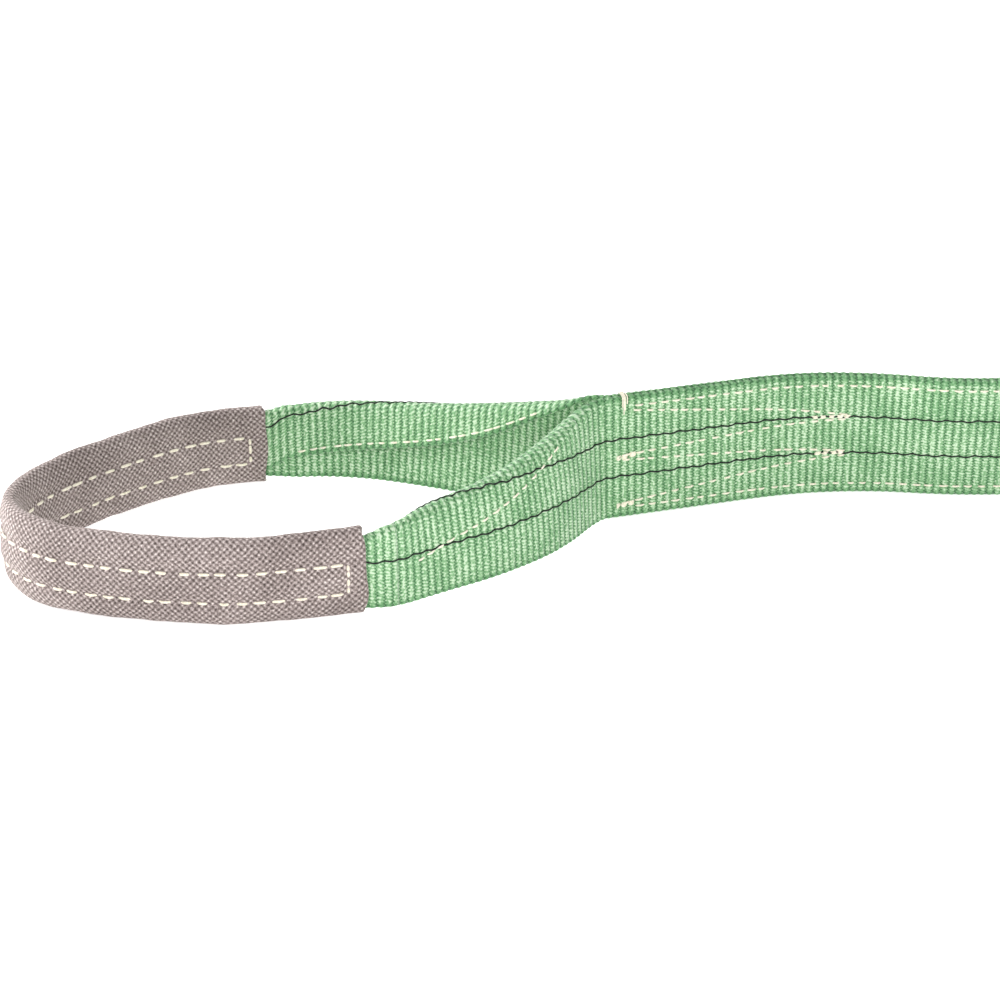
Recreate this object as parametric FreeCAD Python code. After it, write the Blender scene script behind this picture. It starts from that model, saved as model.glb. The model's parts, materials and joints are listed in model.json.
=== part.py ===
"""A two-tonne flat web sling: a doubled polyester web with a soft eye at each end.

One web goes round the whole sling. Between the eyes its two plies lie against each other and are
sewn together. In each eye it is a single ply, folded lengthwise to pass through a woven sleeve.
The sling stands on the edge of its web, with its eyes open, as it is laid out for use.
All sizes are in millimetres. X runs along the sling, Y to its far side, and Z up.
"""
import FreeCAD, Part
import math
import os

# --- The sling as a whole -------------------------------------------------------------
EYE_LENGTH = 332.0          # crotch to bearing point, with the loop pressed flat
BODY_LENGTH = 336.0         # crotch to crotch, so that both bearing points are 1 m apart
WEB_WIDTH = 60.0
PLY = 3.0

# --- The lengthwise fold in each eye --------------------------------------------------
FOLDED_HEIGHT = 37.0        # height of the folded web inside the sleeve
FOLD_GAP = 0.6              # slack between the web and its folded flap
FLAP_START = 30.0           # how far from the crotch the flap is wide enough to lie flat

# --- The eye, measured along the web from the crotch ----------------------------------
ROOT_LENGTH = 45.0          # web that stays with the crotch before a leg bends
NEAR_LEG_LENGTH = 151.0     # crotch to the sleeve on the near side
SLEEVE_LENGTH = 338.0
SLEEVE_TIP = 182.0          # sleeve's near mouth to the crown's tip

# --- The sleeve -----------------------------------------------------------------------
SLEEVE_WALL = 1.2
SLEEVE_EASE = 0.6           # play between the folded web and the sleeve
SEAM_HEIGHTS = (0.28, 0.67)  # the two seams, as shares of the sleeve's height
SLEEVE_CROSS_SEAM = 8.0     # distance of the cross seam from the sleeve's mouth

# --- Yarns and threads ----------------------------------------------------------------
TRACER_WIDTH = 1.8
TRACER_PROUD = 0.3
TRACER_SPACING = 18.4
THREAD_WIDTH = 1.0
THREAD_PROUD = 0.5
EDGE_SEAM_INSET = 5.0
FLAP_SEAM_INSET = 3.0
SPLICE_LENGTH = 108.0
TACK_WIDTH = 2.0
TACK_DROP = 9.0

# --- The blank label on the far face --------------------------------------------------
LABEL_MARGIN = 3.0          # from the label's free end to the bend at the body's middle
LABEL_TAB = 6.0
LABEL_LENGTH = 40.0
LABEL_HEIGHT = 48.0
LABEL_THICKNESS = 0.8
LABEL_CLEARANCE = 0.3

# --- Room for the fabric hinges, each side of a hinge ---------------------------------
CROTCH_GAP = 1.0
BEND_GAP = 0.7
LEG_GAP = 0.6
MOUTH_GAP = 1.0
TIP_GAP = 1.4

# Centre line of the web round one eye: out from the body's end, and towards the near side.
# The loop lies as a free hand leaves it, fuller on its far side.
EYE_CORNERS = ((36, 26), (70, 39.5), (98, 46), (122, 53.5), (140, 53.5), (170, 51.5), (198, 47.5),
               (241, 26), (272, 2), (281, -30), (262, -58), (225, -80), (182, -98), (144, -94.5),
               (104, -83), (64, -51))
CROTCH_RUN = 9.0            # straight web before the two legs part

# Centre line of the body, from one crotch to the other.
BODY_CORNERS = ((54, -18), (90, -6.5), (140, 9.5), (180, 12.5), (214, 7.5), (250, 8), (290, 11),
                (335, 6), (388, -2))
BEND_SHARE = 0.46           # share of the shorter run that each bend's tangent takes up

TRACER_HEIGHTS = ((WEB_WIDTH - TRACER_SPACING) / 2, (WEB_WIDTH + TRACER_SPACING) / 2)
FOLDED_THICKNESS = 2 * PLY + FOLD_GAP
FOLDED_CENTRE = FOLDED_THICKNESS / 2 - PLY / 2
SLEEVE_BASE = SLEEVE_WALL + SLEEVE_EASE / 2
SLEEVE_HEIGHT = SLEEVE_BASE + FOLDED_HEIGHT + SLEEVE_EASE + SLEEVE_WALL
EFFECTIVE_LENGTH = BODY_LENGTH + 2 * EYE_LENGTH


class Route:
    """A line of straight runs joined by tangent arcs, measured by its distance from the start.

    Positive offsets lie on the right of travel when side is 1, and on the left when it is -1.
    """

    def __init__(self, corners, side):
        self.side = side
        self.pieces = []
        self.length = 0.0
        points = [FreeCAD.Vector(x, y, 0) for x, y in corners]
        runs = [b - a for a, b in zip(points, points[1:])]
        headings = [math.atan2(run.y, run.x) for run in runs]
        place = points[0]
        used = 0.0
        for i, run in enumerate(runs):
            if i + 1 < len(runs):
                turn = math.remainder(headings[i + 1] - headings[i], 2 * math.pi)
                tangent = BEND_SHARE * min(run.Length, runs[i + 1].Length)
            else:
                turn = 0.0
                tangent = 0.0
            place = self.add(place, headings[i], run.Length - used - tangent, 0.0)
            if abs(turn) > 1e-6:
                radius = tangent / math.tan(abs(turn) / 2)
                place = self.add(place, headings[i], radius * abs(turn), math.copysign(1 / radius, turn))
            used = tangent

    def add(self, place, heading, length, curvature):
        """Append one run or arc and return the point where it ends."""
        self.pieces.append((self.length, length, place, heading, curvature))
        self.length += length
        return self.on_piece(self.pieces[-1], self.length)[0]

    @staticmethod
    def on_piece(piece, distance):
        """The centre-line point and the heading at a distance that lies on the piece."""
        start, length, place, heading, curvature = piece
        along = distance - start
        if curvature == 0.0:
            step = FreeCAD.Vector(math.cos(heading), math.sin(heading), 0) * along
            return place + step, heading
        end = heading + curvature * along
        step = FreeCAD.Vector(math.sin(end) - math.sin(heading), math.cos(heading) - math.cos(end), 0)
        return place + step * (1 / curvature), end

    def offset(self, piece, distance, off):
        """A point beside the centre line, for a distance that lies on the piece."""
        centre, heading = self.on_piece(piece, distance)
        return centre + FreeCAD.Vector(math.sin(heading), -math.cos(heading), 0) * (off * self.side)

    def at(self, distance, off=0.0):
        """A point beside the centre line at any distance from the start."""
        for piece in self.pieces:
            if distance <= piece[0] + piece[1]:
                return self.offset(piece, distance, off)
        return self.offset(self.pieces[-1], distance, off)

    def edges(self, start, end, off):
        """The line and arc edges that run beside the centre line between two distances."""
        found = []
        for piece in self.pieces:
            low = max(start, piece[0])
            high = min(end, piece[0] + piece[1])
            if high - low < 1e-4:
                continue
            a = self.offset(piece, low, off)
            b = self.offset(piece, high, off)
            if piece[4] == 0.0:
                found.append(Part.LineSegment(a, b).toShape())
            else:
                middle = self.offset(piece, (low + high) / 2, off)
                found.append(Part.Arc(a, middle, b).toShape())
        return found


def ribbon(route, start, end, off_a, off_b, low, high):
    """A wall of constant height that follows the route between two offsets from it."""
    first = route.edges(start, end, off_a)
    second = route.edges(start, end, off_b)
    cap_a = Part.LineSegment(route.at(start, off_a), route.at(start, off_b)).toShape()
    cap_b = Part.LineSegment(route.at(end, off_a), route.at(end, off_b)).toShape()
    outline = Part.Wire(Part.__sortEdges__(first + [cap_b] + second + [cap_a]))
    wall = Part.Face(outline).extrude(FreeCAD.Vector(0, 0, high - low))
    wall.translate(FreeCAD.Vector(0, 0, low))
    return wall


def slope_block(route, start, end, lows, highs):
    """A block whose side view lies between two sloping lines, wider than the web is thick."""
    first = route.at(start)
    last = route.at(end)
    along = last - first
    span = along.Length
    along.normalize()
    across = FreeCAD.Vector(-along.y, along.x, 0)
    overrun = span
    half_width = span

    def corner(share, heights):
        level = heights[0] + (heights[1] - heights[0]) * share
        return first + along * (share * span) - across * half_width + FreeCAD.Vector(0, 0, level)

    before, after = -overrun / span, 1 + overrun / span
    ring = [corner(before, lows), corner(after, lows), corner(after, highs), corner(before, highs)]
    side = Part.Face(Part.makePolygon(ring + [ring[0]]))
    return side.extrude(across * (2 * half_width))


def sloped_ribbon(route, start, end, off_a, off_b, lows, highs):
    """A wall along the route whose lower and upper edges each slope in a straight line."""
    floor = min(lows) - 1
    wall = ribbon(route, start, end, off_a, off_b, floor, max(highs) + 1)
    return wall.common(slope_block(route, start, end, lows, highs))


def group(shapes):
    """Separate solids that share one node."""
    return Part.makeCompound([solid for shape in shapes for solid in shape.Solids])


def laid_over(threads, crossed):
    """Threads with what they cross taken out of them, so that they pass over it."""
    return group([solid.cut(crossed) for solid in threads.Solids])


# --- Routes ---------------------------------------------------------------------------

def scaled(corners, length):
    """Corners enlarged or reduced about the first one, so that their route has this length."""
    share = length / Route(corners, 1).length
    x0, y0 = corners[0]
    return [(x0 + (x - x0) * share, y0 + (y - y0) * share) for x, y in corners]


def eye_route(crotch, heading, side):
    """The web's centre line round an eye that leaves the body at this point and heading."""
    half = PLY / 2
    near_start = [(0, half), (CROTCH_RUN, half)]
    far_end = [(CROTCH_RUN, -half), (0, -half)]
    share = 2 * EYE_LENGTH / Route(near_start + list(EYE_CORNERS) + far_end, 1).length
    loop = near_start + [(out * share, near * share) for out, near in EYE_CORNERS] + far_end
    out_x, out_y = math.cos(heading), math.sin(heading)
    near_x, near_y = -side * out_y, side * out_x
    placed = [(crotch.x + u * out_x + v * near_x, crotch.y + u * out_y + v * near_y) for u, v in loop]
    return Route(placed, side)


def body_route():
    return Route(scaled(BODY_CORNERS, BODY_LENGTH), -1)


# --- The body -------------------------------------------------------------------------

def body_ply(route, start, end, far):
    """One ply of the doubled web."""
    if far:
        return ribbon(route, start, end, 0, PLY, 0, WEB_WIDTH)
    return ribbon(route, start, end, -PLY, 0, 0, WEB_WIDTH)


def face_rows(route, start, end, heights, width, proud):
    """Straight rows along both faces of the body, standing a little proud of the web."""
    rows = []
    for height in heights:
        low = height - width / 2
        high = height + width / 2
        rows.append(ribbon(route, start, end, -PLY - proud, -PLY, low, high))
        rows.append(ribbon(route, start, end, PLY, PLY + proud, low, high))
    return rows


def splice_rows(route, start, end):
    """Zigzag rows that join the two plies beside the crotch, on both faces."""
    low_yarn, high_yarn = TRACER_HEIGHTS
    middle = WEB_WIDTH / 2
    outer = EDGE_SEAM_INSET + 2 * THREAD_WIDTH
    levels = ((WEB_WIDTH - outer, high_yarn + THREAD_WIDTH),
              (middle + THREAD_WIDTH, high_yarn - THREAD_WIDTH),
              (middle - THREAD_WIDTH, low_yarn + THREAD_WIDTH),
              (outer, low_yarn - THREAD_WIDTH))
    half = THREAD_WIDTH / 2
    rows = []
    for left, right in levels:
        lows = (left - half, right - half)
        highs = (left + half, right + half)
        rows.append(sloped_ribbon(route, start, end, -PLY - THREAD_PROUD, -PLY, lows, highs))
        rows.append(sloped_ribbon(route, start, end, PLY, PLY + THREAD_PROUD, lows, highs))
    return rows


def crotch_tack(route, start):
    """Thread that is whipped over the top edge of both plies where the legs part."""
    end = start + TACK_WIDTH
    outer = PLY + THREAD_PROUD
    low = WEB_WIDTH - TACK_DROP
    saddle = ribbon(route, start, end, -outer, outer, low, WEB_WIDTH + THREAD_PROUD)
    return saddle.cut(ribbon(route, start - 1, end + 1, -PLY, PLY, low - 1, WEB_WIDTH))


def body_half(route, name, start, end, splice_start, tack_start):
    """All the pieces of one half of the body, keyed by node name."""
    edge_rows = (EDGE_SEAM_INSET, WEB_WIDTH - EDGE_SEAM_INSET)
    yarns = group(face_rows(route, start, end, TRACER_HEIGHTS, TRACER_WIDTH, TRACER_PROUD))
    tack = crotch_tack(route, tack_start)
    seams = group(face_rows(route, start, end, edge_rows, THREAD_WIDTH, THREAD_PROUD))
    splice = group(splice_rows(route, splice_start, splice_start + SPLICE_LENGTH))
    return {
        "web_near_ply_" + name: body_ply(route, start, end, False),
        "web_far_ply_" + name: body_ply(route, start, end, True),
        "body_tracer_yarns_" + name: yarns,
        "edge_seams_" + name: laid_over(seams, tack),
        "splice_stitching_" + name: laid_over(splice, yarns),
        "crotch_tack_" + name: tack,
    }


def label_start(route):
    """Where the label's tab begins, so that its free end stops short of the bend."""
    return route.length / 2 - BEND_GAP - LABEL_MARGIN - LABEL_LENGTH - LABEL_CLEARANCE - LABEL_TAB


def label_parts(route):
    """A blank label on the far face: a sewn tab, a free flap, and the thread through the tab."""
    half = LABEL_HEIGHT / 2
    low = WEB_WIDTH / 2 - half
    high = WEB_WIDTH / 2 + half
    face = PLY + THREAD_PROUD
    tab_start = label_start(route)
    tab_end = tab_start + LABEL_TAB
    flap_start = tab_end + LABEL_CLEARANCE
    flap_end = flap_start + LABEL_LENGTH
    flap_face = face + LABEL_CLEARANCE
    seam_start = tab_start + LABEL_TAB / 2 - THREAD_WIDTH / 2
    seam_end = seam_start + THREAD_WIDTH
    outer = face + LABEL_THICKNESS
    flap = ribbon(route, flap_start, flap_end, flap_face, flap_face + LABEL_THICKNESS, low, high)
    seam = ribbon(route, seam_start, seam_end, outer, outer + THREAD_PROUD,
                  low + THREAD_WIDTH, high - THREAD_WIDTH)
    tab = ribbon(route, tab_start, tab_end, face, outer, low, high)
    return {"label_tab": tab, "label_seam": seam, "label_flap": flap}


# --- The eyes -------------------------------------------------------------------------

class Leg:
    """One leg of an eye, from the crotch to the sleeve's mouth, and how its web is folded.

    The web's height falls evenly from its full width at the crotch to the folded height at the
    mouth. What is over hangs down inside the loop as a flap, which is that much longer there.
    """

    def __init__(self, route, crotch, mouth):
        self.route = route
        self.crotch = crotch
        self.mouth = mouth

    def top(self, at):
        """The height of the fold."""
        share = (at - self.crotch) / (self.mouth - self.crotch)
        return WEB_WIDTH + (FOLDED_HEIGHT - WEB_WIDTH) * share

    def folded_down(self, at, across):
        """The height on the flap of a line this far across the web."""
        return 2 * self.top(at) - across

    def flap_span(self, start, end):
        """The part of a span in which the flap is wide enough to lie flat."""
        if self.mouth > self.crotch:
            return max(start, self.crotch + FLAP_START), end
        return start, min(end, self.crotch - FLAP_START)

    def crossing(self, across):
        """Where a line this far across the web goes over the fold."""
        share = (WEB_WIDTH - across) / (WEB_WIDTH - FOLDED_HEIGHT)
        return self.crotch + share * (self.mouth - self.crotch)


def leg_web(leg, start, end):
    """A span of the leg's web: its standing part, its flap and the fold that joins them."""
    tops = [leg.top(start), leg.top(end)]
    inner = PLY / 2
    flap_inner = inner + FOLD_GAP
    standing = sloped_ribbon(leg.route, start, end, -inner, inner, (0, 0), tops)
    flap_from, flap_to = leg.flap_span(start, end)
    spots = (flap_from, flap_to)
    tops = [leg.top(at) for at in spots]
    edges = [leg.folded_down(at, WEB_WIDTH) for at in spots]
    flap = sloped_ribbon(leg.route, flap_from, flap_to, flap_inner, flap_inner + PLY, edges, tops)
    undersides = [top - min(PLY, (top - edge) / 2) for top, edge in zip(tops, edges)]
    bridge = sloped_ribbon(leg.route, flap_from, flap_to, inner, flap_inner, undersides, tops)
    whole = standing.fuse([flap, bridge]).removeSplitter()
    return whole.common(slope_block(leg.route, start, end, (-1, -1), [leg.top(start), leg.top(end)]))


def leg_yarns(leg, start, end):
    """The tracer yarns on the outer face, the upper one only until it goes over the fold."""
    half = TRACER_WIDTH / 2
    face = -PLY / 2
    yarns = []
    for height in TRACER_HEIGHTS:
        low, high = start, end
        over = leg.crossing(height + TRACER_WIDTH)
        if leg.mouth > leg.crotch:
            high = min(end, over)
        else:
            low = max(start, over)
        if high > low:
            yarns.append(ribbon(leg.route, low, high, face - TRACER_PROUD, face,
                                height - half, height + half))
    return group(yarns)


def flap_seam(leg, start, end):
    """The row that sews the flap's free edge down, on the outer face and on the flap.

    It passes over the tracer yarns that it crosses.
    """
    half = THREAD_WIDTH / 2
    sewn_from, sewn_to = leg.flap_span(start, end)
    level = [leg.folded_down(at, WEB_WIDTH - FLAP_SEAM_INSET) for at in (sewn_from, sewn_to)]
    lows = [z - half for z in level]
    highs = [z + half for z in level]
    flap_face = FOLDED_THICKNESS - PLY / 2
    faces = ((-PLY / 2 - THREAD_PROUD, -PLY / 2), (flap_face, flap_face + THREAD_PROUD))
    rows = [sloped_ribbon(leg.route, sewn_from, sewn_to, a, b, lows, highs) for a, b in faces]
    return laid_over(group(rows), leg_yarns(leg, start, end))


def crown_web(route, start, end):
    """The folded web inside the sleeve, with its flap on the inner side."""
    top = SLEEVE_BASE + FOLDED_HEIGHT
    inner = PLY / 2
    flap_inner = inner + FOLD_GAP
    flap_bottom = top - (WEB_WIDTH - FOLDED_HEIGHT)
    standing = ribbon(route, start, end, -PLY / 2, inner, SLEEVE_BASE, top)
    flap = ribbon(route, start, end, flap_inner, flap_inner + PLY, flap_bottom, top)
    bridge = ribbon(route, start, end, inner, flap_inner, top - PLY, top)
    return standing.fuse([flap, bridge]).removeSplitter()


def sleeve_faces():
    """Offsets of the sleeve's outer skin from the web's centre line, outer side and inner side."""
    play = SLEEVE_EASE + SLEEVE_WALL
    return -PLY / 2 - play, FOLDED_THICKNESS - PLY / 2 + play


def sleeve(route, start, end):
    """A flat woven tube round the folded web."""
    outer, inner = sleeve_faces()
    skin = ribbon(route, start, end, outer, inner, 0, SLEEVE_HEIGHT)
    hollow = ribbon(route, start, end, outer + SLEEVE_WALL, inner - SLEEVE_WALL, SLEEVE_WALL,
                    SLEEVE_HEIGHT - SLEEVE_WALL)
    return skin.cut(hollow)


def sleeve_seams(route, start, end, mouth):
    """Two rows along both faces of the sleeve, and a cross seam beside its mouth."""
    outer, inner = sleeve_faces()
    half = THREAD_WIDTH / 2
    heights = [share * SLEEVE_HEIGHT for share in SEAM_HEIGHTS]
    if mouth == start:
        cross = start + SLEEVE_CROSS_SEAM
        rows_from, rows_to = cross + half, end
    else:
        cross = end - SLEEVE_CROSS_SEAM
        rows_from, rows_to = start, cross - half
    pieces = []
    for face, away in ((outer, -1), (inner, 1)):
        skin = face + away * THREAD_PROUD
        for z in heights:
            pieces.append(ribbon(route, rows_from, rows_to, face, skin, z - half, z + half))
        pieces.append(ribbon(route, cross - half, cross + half, face, skin,
                             heights[0] - half, heights[1] + half))
    return group(pieces)


def eye_parts(route, name):
    """All the pieces of one eye, keyed by node name."""
    loop = route.length
    near_hinge = ROOT_LENGTH
    near_mouth = NEAR_LEG_LENGTH
    tip = near_mouth + SLEEVE_TIP
    far_mouth = near_mouth + SLEEVE_LENGTH
    far_hinge = loop - ROOT_LENGTH
    near_root = (CROTCH_GAP, near_hinge - LEG_GAP)
    near_leg = (near_hinge + LEG_GAP, near_mouth - MOUTH_GAP)
    near_crown = (near_mouth + MOUTH_GAP, tip - TIP_GAP)
    far_crown = (tip + TIP_GAP, far_mouth - MOUTH_GAP)
    far_leg = (far_mouth + MOUTH_GAP, far_hinge - LEG_GAP)
    far_root = (far_hinge + LEG_GAP, loop - CROTCH_GAP)
    near = Leg(route, 0.0, near_mouth)
    far = Leg(route, loop, far_mouth)
    root_yarns = [leg_yarns(near, *near_root), leg_yarns(far, *far_root)]
    return {
        "near_root_web_" + name: leg_web(near, *near_root),
        "far_root_web_" + name: leg_web(far, *far_root),
        "root_tracer_yarns_" + name: group(root_yarns),
        "near_leg_web_" + name: leg_web(near, *near_leg),
        "near_leg_tracer_yarns_" + name: leg_yarns(near, *near_leg),
        "near_flap_seam_" + name: flap_seam(near, *near_leg),
        "near_crown_web_" + name: crown_web(route, *near_crown),
        "near_sleeve_" + name: sleeve(route, *near_crown),
        "near_sleeve_seams_" + name: sleeve_seams(route, *near_crown, near_crown[0]),
        "far_crown_web_" + name: crown_web(route, *far_crown),
        "far_sleeve_" + name: sleeve(route, *far_crown),
        "far_sleeve_seams_" + name: sleeve_seams(route, *far_crown, far_crown[1]),
        "far_leg_web_" + name: leg_web(far, *far_leg),
        "far_leg_tracer_yarns_" + name: leg_yarns(far, *far_leg),
        "far_flap_seam_" + name: flap_seam(far, *far_leg),
    }


def eye_hinges(route, name):
    """Where the eye's fabric bends: both legs' roots, both sleeve mouths and the crown's tip."""
    places = {
        "near_root": route.at(ROOT_LENGTH),
        "near_mouth": route.at(NEAR_LEG_LENGTH, FOLDED_CENTRE),
        "tip": route.at(NEAR_LEG_LENGTH + SLEEVE_TIP, FOLDED_CENTRE),
        "far_mouth": route.at(NEAR_LEG_LENGTH + SLEEVE_LENGTH, FOLDED_CENTRE),
        "far_root": route.at(route.length - ROOT_LENGTH),
    }
    return {place + "_" + name: point for place, point in places.items()}


# --- The whole sling ------------------------------------------------------------------

def sling():
    """Every node's shape and every hinge's place, with the origin under the box's centre."""
    body = body_route()
    start, heading_a = body.on_piece(body.pieces[0], 0)
    end, heading_b = body.on_piece(body.pieces[-1], body.length)
    middle = body.length / 2
    eye_a = eye_route(start, heading_a + math.pi, 1)
    eye_b = eye_route(end, heading_b, -1)
    tack_b = body.length - CROTCH_GAP - 2 * TACK_WIDTH
    splice_a = CROTCH_GAP + 3 * TACK_WIDTH
    splice_b = body.length - splice_a - SPLICE_LENGTH
    nodes = {}
    nodes.update(body_half(body, "a", CROTCH_GAP, middle - BEND_GAP, splice_a, CROTCH_GAP + TACK_WIDTH))
    nodes.update(body_half(body, "b", middle + BEND_GAP, body.length - CROTCH_GAP, splice_b, tack_b))
    nodes.update(label_parts(body))
    nodes.update(eye_parts(eye_a, "a"))
    nodes.update(eye_parts(eye_b, "b"))
    label_hinge = label_start(body) + LABEL_TAB + LABEL_CLEARANCE / 2
    label_face = PLY + THREAD_PROUD + LABEL_CLEARANCE + LABEL_THICKNESS
    hinges = {"crotch_a": start, "crotch_b": end, "middle": body.at(middle),
              "label": body.at(label_hinge, label_face)}
    hinges.update(eye_hinges(eye_a, "a"))
    hinges.update(eye_hinges(eye_b, "b"))
    box = group(nodes.values()).optimalBoundingBox()
    shift = FreeCAD.Vector(-box.Center.x, -box.Center.y, -box.ZMin)
    for shape in nodes.values():
        shape.translate(shift)
    for name in hinges:
        hinges[name] = hinges[name] + FreeCAD.Vector(shift.x, shift.y, 0)
    return nodes, hinges, box


def main():
    nodes, hinges, box = sling()
    os.makedirs("parts", exist_ok=True)
    for name, shape in nodes.items():
        shape.exportStep("parts/" + name + ".step")
        state = "valid" if shape.isValid() else "NOT VALID"
        print("%-26s %3d solids %9.1f mm3 %s" % (name, len(shape.Solids), shape.Volume, state))
    for name, point in hinges.items():
        print("hinge %-14s %9.3f %9.3f" % (name, point.x, point.y))
    print("box %.1f x %.1f x %.1f" % (box.XLength, box.YLength, box.ZLength))
    print("effective length %.0f" % EFFECTIVE_LENGTH)


main()
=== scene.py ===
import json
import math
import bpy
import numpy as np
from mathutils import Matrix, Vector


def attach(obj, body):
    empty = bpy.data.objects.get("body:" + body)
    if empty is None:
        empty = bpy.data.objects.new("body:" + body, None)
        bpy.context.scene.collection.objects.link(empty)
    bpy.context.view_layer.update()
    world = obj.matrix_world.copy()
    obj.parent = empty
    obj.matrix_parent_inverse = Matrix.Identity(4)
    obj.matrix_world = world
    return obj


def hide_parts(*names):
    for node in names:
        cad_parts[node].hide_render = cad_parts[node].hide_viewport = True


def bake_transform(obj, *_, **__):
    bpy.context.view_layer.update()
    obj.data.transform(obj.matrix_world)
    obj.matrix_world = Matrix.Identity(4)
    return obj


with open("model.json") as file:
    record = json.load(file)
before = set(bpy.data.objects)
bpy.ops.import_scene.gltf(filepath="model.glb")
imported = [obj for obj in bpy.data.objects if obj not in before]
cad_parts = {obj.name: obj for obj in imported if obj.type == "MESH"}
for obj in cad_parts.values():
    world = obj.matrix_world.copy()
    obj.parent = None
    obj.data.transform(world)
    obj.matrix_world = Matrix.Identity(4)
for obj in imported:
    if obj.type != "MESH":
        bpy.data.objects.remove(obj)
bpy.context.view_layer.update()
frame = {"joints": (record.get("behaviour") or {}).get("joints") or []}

# %% [markdown]
# # A flat web sling
#
# A flat web sling is one long polyester web. Its two plies are sewn together along the body, and at
# each end a single ply opens into a soft eye. In the eye the web is folded lengthwise and passes
# through a woven sleeve that takes the wear of the hook.
#
# Everything here is fabric, so every surface is worked out on a grid of two numbers: how far along
# the web a point is, and how far across it. The same two numbers then guide the weave of the
# material, so that ribs, yarns and stitches all follow the cloth round its bends.

MM = 0.001
HINGES = {j["name"]: np.array(j["pos_m"][:2]) / MM for j in frame["joints"]}

# %% [markdown]
# ## The path of the web
#
# The sling stands on the edge of its web, so seen from above the web is a line. A quadratic
# B-spline draws it: a smooth curve that touches every run of its guiding corners at the run's
# middle. A few listed corners are enough, and the curve has no kinks, which is how stiff
# cloth bends.

# %% A smooth line through guiding corners
EYE_LOOP = 664.0            # length of web round one eye
BODY_CORNERS = ((54, -18), (90, -6.5), (140, 9.5), (180, 12.5), (214, 7.5), (250, 8), (290, 11),
                (335, 6), (388, -2))
EYE_CORNERS = ((36, 27), (70, 43), (98, 50.5), (122, 58), (140, 58), (170, 56.5), (198, 52.5),
               (241, 32), (273, 8), (282, -24), (263, -54), (225, -76), (182, -94), (144, -92),
               (104, -81), (64, -50))
CROTCH_RUN = 9.0            # the straight web before the two legs of an eye part
HALF_PLY = 1.5


def spline(corners):
    """Quadratic B-spline. Between the middles A and B of the two runs that meet at a corner C, it
    is (1-t)^2 A + 2t(1-t) C + t^2 B, and it runs straight to the first and the last corner."""
    c = np.array(corners, float)
    mid = (c[:-1] + c[1:]) / 2
    t = np.linspace(0, 1, 40, endpoint=False)[None, :, None]
    arcs = (1 - t) ** 2 * mid[:-1, None] + 2 * t * (1 - t) * c[1:-1, None] + t ** 2 * mid[1:, None]
    return np.vstack([c[:1], arcs.reshape(-1, 2), mid[-1:], c[-1:]])


def travelled(points):
    """The distance along a line of points, at each of them."""
    return np.concatenate([[0], np.cumsum(np.linalg.norm(np.diff(points, axis=0), axis=1))])


class Path:
    """A line that is read by distance, with the unit normal on the side that faces into the eye.
    Its points are spaced evenly and then softened by a running mean with Hann weights."""

    def __init__(self, points, zero, side, soften=6.0):
        d = travelled(points)
        n = int(d[-1] / 0.5)
        even = np.linspace(0, d[-1], n)
        xy = np.column_stack([np.interp(even, d, points[:, i]) for i in (0, 1)])
        width = int(soften / 0.5) | 1
        kernel = np.hanning(width + 2)[1:-1]
        kernel /= kernel.sum()
        pad = width // 2
        ends = [np.linspace(1, pad, pad)[::-1, None], np.linspace(1, pad, pad)[:, None]]
        first = xy[0] + (xy[0] - xy[1]) * ends[0]
        last = xy[-1] + (xy[-1] - xy[-2]) * ends[1]
        padded = np.vstack([first, xy, last])
        self.xy = np.column_stack([np.convolve(padded[:, i], kernel, "valid") for i in (0, 1)])
        self.s = even - zero
        run = np.gradient(self.xy, axis=0)
        run /= np.linalg.norm(run, axis=1)[:, None]
        self.normal = np.column_stack([run[:, 1], -run[:, 0]]) * side

    def at(self, s):
        """The point and the inward normal at distances s, as two arrays of pairs."""
        xy = np.stack([np.interp(s, self.s, self.xy[:, i]) for i in (0, 1)], -1)
        n = np.stack([np.interp(s, self.s, self.normal[:, i]) for i in (0, 1)], -1)
        return xy, n / np.linalg.norm(n, axis=-1, keepdims=True)

    def nearest(self, point):
        """The distance at which the line passes nearest to a point."""
        return float(self.s[np.argmin(np.linalg.norm(self.xy - point, axis=1))])


# %% The body's line, from one crotch to the other
crotch_a, crotch_b = HINGES["eye_swing_a"], HINGES["eye_swing_b"]
raw = np.array(BODY_CORNERS, float)
share = np.linalg.norm(crotch_b - crotch_a) / np.linalg.norm(raw[-1] - raw[0])
body_corners = crotch_a + (raw - raw[0]) * share
body_line = spline(body_corners)
BODY_LENGTH = travelled(body_line)[-1]
body = Path(body_line, 0.0, -1)
print("the body is", round(BODY_LENGTH, 1), "mm long")


# %% The web's line round each eye, with the start of both plies of the body
def eye_line(name):
    """The loop's corners are turned to leave the body straight, and scaled to the loop's length."""
    crotch, side, run = ((crotch_a, 1, body_corners[0] - body_corners[1]) if name == "a" else
                         (crotch_b, -1, body_corners[-1] - body_corners[-2]))
    out = run / np.linalg.norm(run)
    near = np.array([-out[1], out[0]]) * side

    def loop(scale):
        middle = [(u * scale, v * scale) for u, v in EYE_CORNERS]
        ends = [(0, HALF_PLY), (CROTCH_RUN, HALF_PLY)], [(CROTCH_RUN, -HALF_PLY), (0, -HALF_PLY)]
        return spline(ends[0] + middle + ends[1])

    scale = EYE_LOOP / travelled(loop(1.0))[-1]
    eye = crotch + loop(scale) @ np.array([out, near])
    inside = np.linspace(0, 60, 121) if name == "a" else BODY_LENGTH - np.linspace(0, 60, 121)
    middle, away = body.at(inside)
    near_ply = (middle - away * HALF_PLY)[::-1]
    far_ply = middle + away * HALF_PLY
    whole = np.vstack([near_ply[:-1], eye, far_ply[1:]])
    return Path(whole, travelled(near_ply)[-1], side)


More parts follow.
